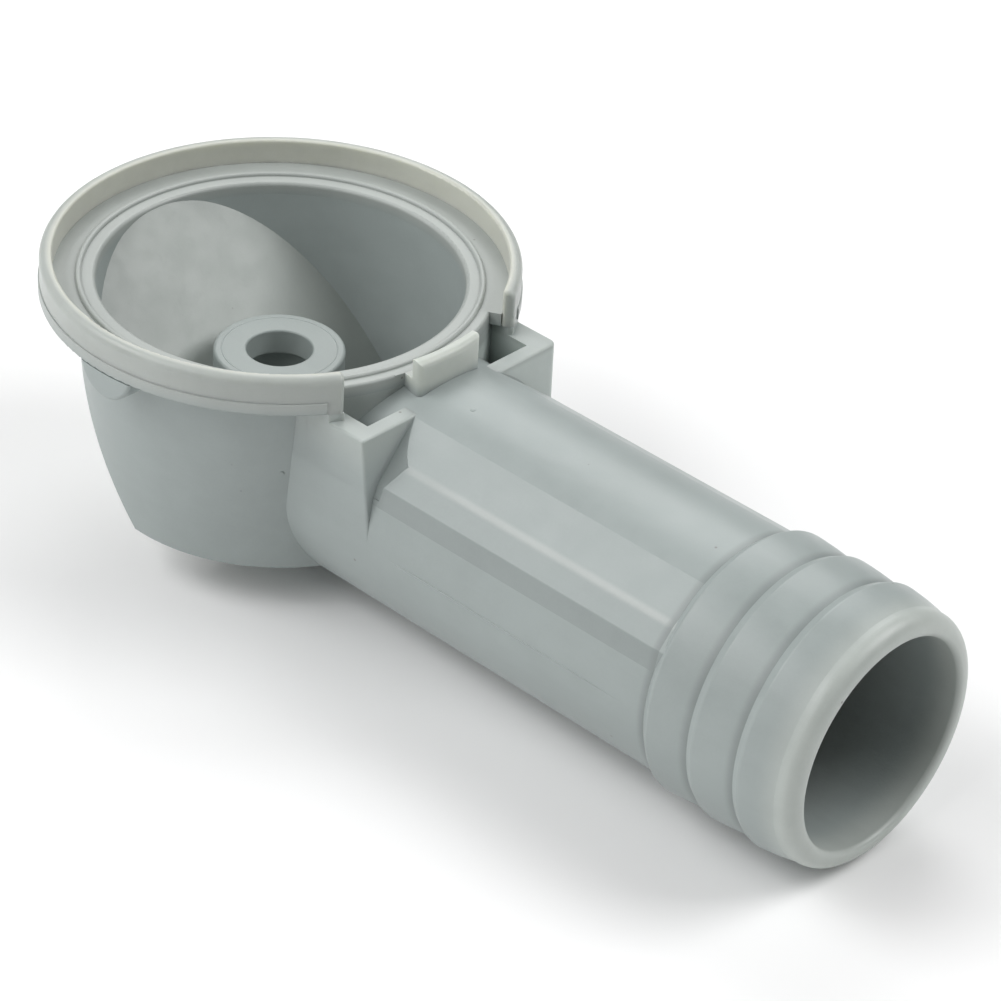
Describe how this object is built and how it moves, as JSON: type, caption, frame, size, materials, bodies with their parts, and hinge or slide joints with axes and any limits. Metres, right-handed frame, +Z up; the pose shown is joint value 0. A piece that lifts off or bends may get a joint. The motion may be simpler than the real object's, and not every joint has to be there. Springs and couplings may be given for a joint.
{
  "type": "overflow drain body",
  "caption": "Grey moulded drain elbow body: round bowl with a gasket rim, a central screw boss and a sloping back, opening into a barbed side outlet for a hose.",
  "frame": {"origin": "middle of the screw boss's seating face", "axes": "+Z up out of the bowl along the screw hole, +X out of the outlet along the pipe, XZ is the plane of symmetry apart from the right pocket"},
  "size_m": [0.1552, 0.0724, 0.0452],
  "materials": {
    "grey_plastic": "satin moulded"
  },
  "bodies": {
    "root": {"rim_wall": "grey_plastic", "rim_band": "grey_plastic", "gasket_ledge": "grey_plastic", "lip_ring": "grey_plastic", "sealing_bead": "grey_plastic", "centre_tab": "grey_plastic", "left_rim_pad": "grey_plastic", "right_rim_pad": "grey_plastic", "bowl_wall": "grey_plastic", "bowl_ramp": "grey_plastic", "bowl_floor": "grey_plastic", "screw_boss": "grey_plastic", "outlet_neck": "grey_plastic", "left_pocket_back": "grey_plastic", "right_pocket_back": "grey_plastic", "left_pocket_wall": "grey_plastic", "right_pocket_wall": "grey_plastic", "outlet_sump": "grey_plastic", "outlet_pipe": "grey_plastic", "left_shoulder": "grey_plastic", "right_shoulder": "grey_plastic", "barb_1": "grey_plastic", "barb_2": "grey_plastic", "barb_3": "grey_plastic", "pipe_mouth": "grey_plastic"}
  },
  "joints": []
}
